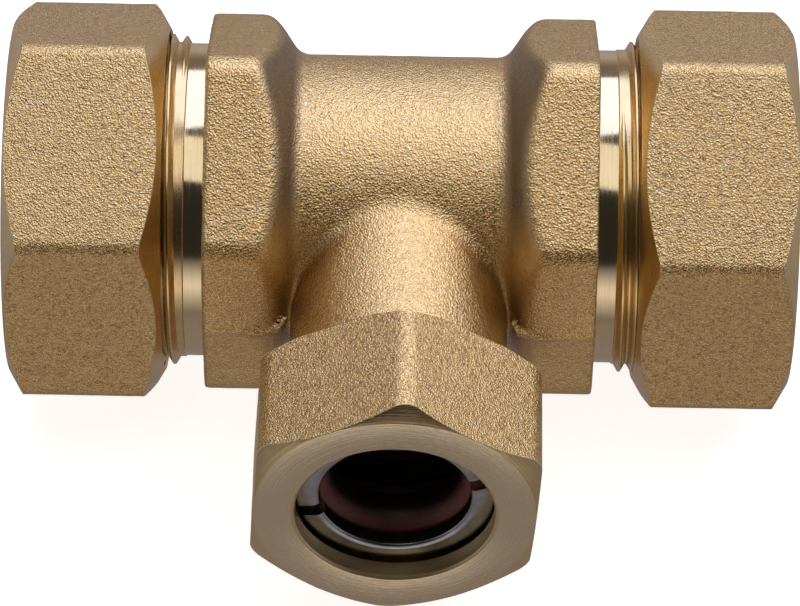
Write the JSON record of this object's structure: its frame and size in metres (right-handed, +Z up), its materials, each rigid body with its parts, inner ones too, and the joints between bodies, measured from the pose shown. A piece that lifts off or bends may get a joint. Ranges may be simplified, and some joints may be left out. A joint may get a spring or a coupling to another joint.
{
  "type": "push to connect reducing tee fitting",
  "caption": "Forged brass reducing tee for corrugated gas tube. Each port has a hex nut over a spring-loaded split grip ring, a soft seal and its sleeve.",
  "frame": {"origin": "centre of the footprint, on the surface the fitting stands on when the run lies level and the branch points forward", "axes": "+X along the run towards the right port, -Y out of the branch port, +Z up"},
  "size_m": [0.089, 0.0674, 0.0467],
  "materials": {
    "forged_brass": "shot-blasted forging with machined lands and threads",
    "nut_brass": "forged flats, machined chamfers and front face",
    "sleeve_brass": "turned",
    "ring_steel": "bead-blasted satin",
    "seal_rubber": "dark red-brown silicone, satin",
    "band_rubber": "black cord",
    "graphite": "pressed graphite, dull"
  },
  "bodies": {
    "tee": {"tee_body": "forged_brass", "left_fire_washer": "graphite", "right_fire_washer": "graphite", "branch_fire_washer": "graphite"},
    "left_cartridge": {"left_seal": "seal_rubber", "left_seal_sleeve": "sleeve_brass", "left_ring_band": "band_rubber"},
    "left_nut_turning": {"left_nut": "nut_brass"},
    "left_grip_a": {"left_ring_half_a": "ring_steel"},
    "left_grip_b": {"left_ring_half_b": "ring_steel"},
    "right_cartridge": {"right_seal": "seal_rubber", "right_seal_sleeve": "sleeve_brass", "right_ring_band": "band_rubber"},
    "right_nut_turning": {"right_nut": "nut_brass"},
    "right_grip_a": {"right_ring_half_a": "ring_steel"},
    "right_grip_b": {"right_ring_half_b": "ring_steel"},
    "branch_cartridge": {"branch_seal": "seal_rubber", "branch_seal_sleeve": "sleeve_brass", "branch_ring_band": "band_rubber"},
    "branch_nut_turning": {"branch_nut": "nut_brass"},
    "branch_grip_a": {"branch_ring_half_a": "ring_steel"},
    "branch_grip_b": {"branch_ring_half_b": "ring_steel"}
  },
  "joints": [
    {"name": "left_nut_advance", "type": "slide", "parent": "tee", "child": "left_cartridge", "axis": [1, 0, 0], "range_m": [0, 0.00425]},
    {"name": "left_nut_turn", "type": "hinge", "parent": "left_cartridge", "child": "left_nut_turning", "pos_m": [-0.0365, 0.0127, 0.02333], "axis": [1, 0, 0], "range_deg": [0, 1020]},
    {"name": "left_grip_a_open", "type": "slide", "parent": "left_cartridge", "child": "left_grip_a", "axis": [0, 0.2588, 0.9659], "range_m": [0, 0.00165], "stiffness_N_per_m": 300, "springref_m": -0.0015, "deforming": ["left_ring_band"]},
    {"name": "left_grip_b_open", "type": "slide", "parent": "left_cartridge", "child": "left_grip_b", "axis": [0, -0.2588, -0.9659], "range_m": [0, 0.00165], "stiffness_N_per_m": 300, "springref_m": -0.0015},
    {"name": "right_nut_advance", "type": "slide", "parent": "tee", "child": "right_cartridge", "axis": [-1, 0, 0], "range_m": [0, 0.00425]},
    {"name": "right_nut_turn", "type": "hinge", "parent": "right_cartridge", "child": "right_nut_turning", "pos_m": [0.0365, 0.0127, 0.02333], "axis": [-1, 0, 0], "range_deg": [0, 1020]},
    {"name": "right_grip_a_open", "type": "slide", "parent": "right_cartridge", "child": "right_grip_a", "axis": [0, -0.2588, 0.9659], "range_m": [0, 0.00165], "stiffness_N_per_m": 300, "springref_m": -0.0015, "deforming": ["right_ring_band"]},
    {"name": "right_grip_b_open", "type": "slide", "parent": "right_cartridge", "child": "right_grip_b", "axis": [0, 0.2588, -0.9659], "range_m": [0, 0.00165], "stiffness_N_per_m": 300, "springref_m": -0.0015},
    {"name": "branch_nut_advance", "type": "slide", "parent": "tee", "child": "branch_cartridge", "axis": [0, 1, 0], "range_m": [0, 0.00425]},
    {"name": "branch_nut_turn", "type": "hinge", "parent": "branch_cartridge", "child": "branch_nut_turning", "pos_m": [0, -0.0257, 0.02333], "axis": [0, 1, 0], "range_deg": [0, 1020]},
    {"name": "branch_grip_a_open", "type": "slide", "parent": "branch_cartridge", "child": "branch_grip_a", "axis": [-0.2588, 0, 0.9659], "range_m": [0, 0.00165], "stiffness_N_per_m": 300, "springref_m": -0.0015, "deforming": ["branch_ring_band"]},
    {"name": "branch_grip_b_open", "type": "slide", "parent": "branch_cartridge", "child": "branch_grip_b", "axis": [0.2588, 0, -0.9659], "range_m": [0, 0.00165], "stiffness_N_per_m": 300, "springref_m": -0.0015}
  ],
  "couplings": [
    {"joint": "left_nut_turn", "follows": "left_nut_advance", "rad_per_m": 4188.8},
    {"joint": "left_grip_b_open", "follows": "left_grip_a_open", "ratio": 1},
    {"joint": "right_nut_turn", "follows": "right_nut_advance", "rad_per_m": 4188.8},
    {"joint": "right_grip_b_open", "follows": "right_grip_a_open", "ratio": 1},
    {"joint": "branch_nut_turn", "follows": "branch_nut_advance", "rad_per_m": 4188.8},
    {"joint": "branch_grip_b_open", "follows": "branch_grip_a_open", "ratio": 1}
  ]
}
